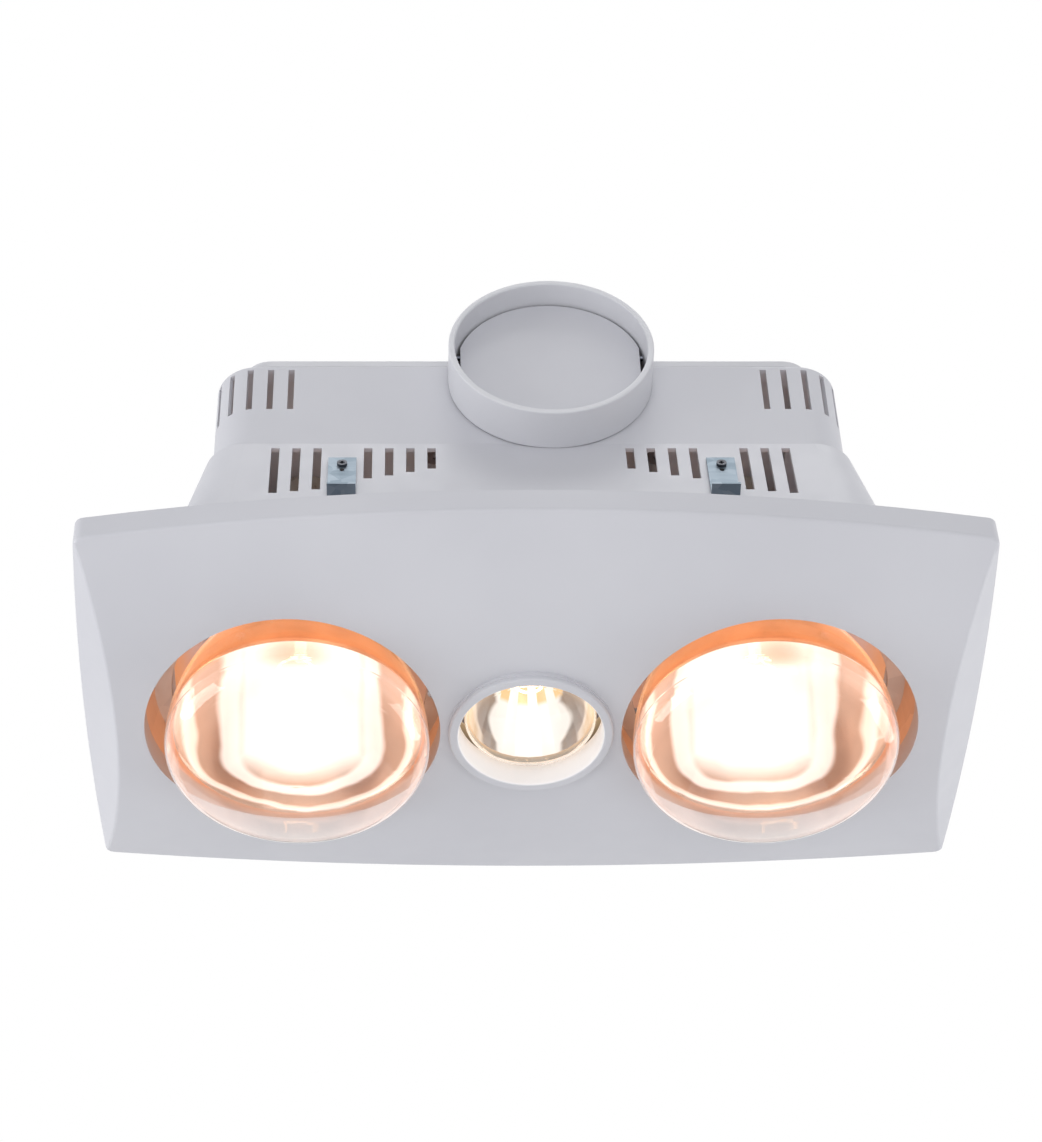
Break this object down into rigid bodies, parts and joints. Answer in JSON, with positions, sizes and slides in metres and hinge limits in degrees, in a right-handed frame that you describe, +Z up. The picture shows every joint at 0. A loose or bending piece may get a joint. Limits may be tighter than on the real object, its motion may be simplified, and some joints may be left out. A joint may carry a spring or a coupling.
{
  "type": "ceiling bathroom heater",
  "caption": "Ceiling bathroom heater with infrared heat lamps, a centre light and an exhaust fan with a side duct spigot and backdraft flap, in a vented housing under a bowed fascia.",
  "frame": {"origin": "middle of the ceiling opening, on the plane where the fascia's rim meets the ceiling", "axes": "+X along the length, +Z up into the ceiling, the duct spigot leaves towards -Y"},
  "size_m": [0.4262, 0.2474, 0.233],
  "materials": {
    "white_moulding": "satin white moulded plastic",
    "grey_moulding": "matte grey moulded plastic",
    "white_enamel": "satin white enamel on sheet steel",
    "zinc_steel": "bright zinc plated sheet",
    "screw_steel": "zinc plated, turned",
    "spring_steel": "blued spring steel",
    "bright_aluminium": "bright spun aluminium",
    "ceramic": null,
    "heat_glass": "blown glass with mirrored back",
    "clear_glass": "blown clear glass",
    "lamp_brass": "pressed brass",
    "tungsten": "drawn wire",
    "motor_iron": "laminated iron",
    "copper_winding": null,
    "black_moulding": "matte black moulded plastic",
    "lead_sleeve": "silicone sleeved lead"
  },
  "bodies": {
    "housing": {"base_plate": "zinc_steel", "cable_gland": "black_moulding", "duct_collar": "white_moulding", "earth_screw": "lamp_brass", "fan_hood": "white_moulding", "fan_tunnel": "grey_moulding", "fascia": "white_moulding", "fascia_clips": "spring_steel", "flap_pin": "spring_steel", "heat_shield_left": "bright_aluminium", "heat_shield_right": "bright_aluminium", "holder_screws": "screw_steel", "hood_screws": "screw_steel", "housing_shell": "white_moulding", "internal_leads": "lead_sleeve", "lampholder_centre": "ceramic", "lampholder_left": "ceramic", "lampholder_right": "ceramic", "lid_screws": "screw_steel", "light_bracket": "zinc_steel", "light_trim_ring": "white_moulding", "motor_bearings": "lamp_brass", "motor_coil": "copper_winding", "motor_front_bracket": "zinc_steel", "motor_rear_bracket": "zinc_steel", "motor_screws": "screw_steel", "motor_stator": "motor_iron", "motor_strap": "zinc_steel", "plate_screws": "screw_steel", "shield_screws": "screw_steel", "terminal_block": "black_moulding", "terminal_cover": "white_moulding", "thermal_cutout": "black_moulding", "top_lid": "white_enamel", "tunnel_screws": "screw_steel"},
    "fan": {"fan_impeller": "grey_moulding", "motor_shaft": "screw_steel", "motor_rotor": "motor_iron"},
    "flap": {"backdraft_flap": "white_moulding"},
    "heat_lamp_left": {"heat_lamp_left_cap": "lamp_brass", "heat_lamp_left_filament": "tungsten", "heat_lamp_left_glass": "heat_glass", "heat_lamp_left_stem": "clear_glass"},
    "heat_lamp_right": {"heat_lamp_right_cap": "lamp_brass", "heat_lamp_right_filament": "tungsten", "heat_lamp_right_glass": "heat_glass", "heat_lamp_right_stem": "clear_glass"},
    "light_lamp": {"light_lamp_cap": "lamp_brass", "light_lamp_filament": "tungsten", "light_lamp_glass": "clear_glass", "light_lamp_stem": "clear_glass"},
    "clamp_front_left": {"clamp_bracket_front_left": "zinc_steel", "clamp_screw_front_left": "screw_steel"},
    "clamp_front_right": {"clamp_bracket_front_right": "zinc_steel", "clamp_screw_front_right": "screw_steel"},
    "clamp_rear_left": {"clamp_bracket_rear_left": "zinc_steel", "clamp_screw_rear_left": "screw_steel"},
    "clamp_rear_right": {"clamp_bracket_rear_right": "zinc_steel", "clamp_screw_rear_right": "screw_steel"}
  },
  "joints": [
    {"name": "fan_spin", "type": "hinge", "parent": "housing", "child": "fan", "pos_m": [0.0108, -0.047, 0.1155], "axis": [0, 1, 0], "continuous": true},
    {"name": "flap_swing", "type": "hinge", "parent": "housing", "child": "flap", "pos_m": [0.0108, -0.0982, 0.1255], "axis": [-1, 0, 0], "range_deg": [0, 75]},
    {"name": "heat_lamp_left_draw", "type": "slide", "parent": "housing", "child": "heat_lamp_left", "axis": [0, 0, -1], "range_m": [0, 0.025]},
    {"name": "heat_lamp_right_draw", "type": "slide", "parent": "housing", "child": "heat_lamp_right", "axis": [0, 0, -1], "range_m": [0, 0.025]},
    {"name": "light_lamp_draw", "type": "slide", "parent": "housing", "child": "light_lamp", "axis": [0, 0, -1], "range_m": [0, 0.025]},
    {"name": "clamp_front_left_slide", "type": "slide", "parent": "housing", "child": "clamp_front_left", "axis": [0, -0.1826, -0.9832], "range_m": [-0.004, 0.014]},
    {"name": "clamp_front_right_slide", "type": "slide", "parent": "housing", "child": "clamp_front_right", "axis": [0, -0.1826, -0.9832], "range_m": [-0.004, 0.014]},
    {"name": "clamp_rear_left_slide", "type": "slide", "parent": "housing", "child": "clamp_rear_left", "axis": [0, 0.1826, -0.9832], "range_m": [-0.004, 0.014]},
    {"name": "clamp_rear_right_slide", "type": "slide", "parent": "housing", "child": "clamp_rear_right", "axis": [0, 0.1826, -0.9832], "range_m": [-0.004, 0.014]}
  ]
}
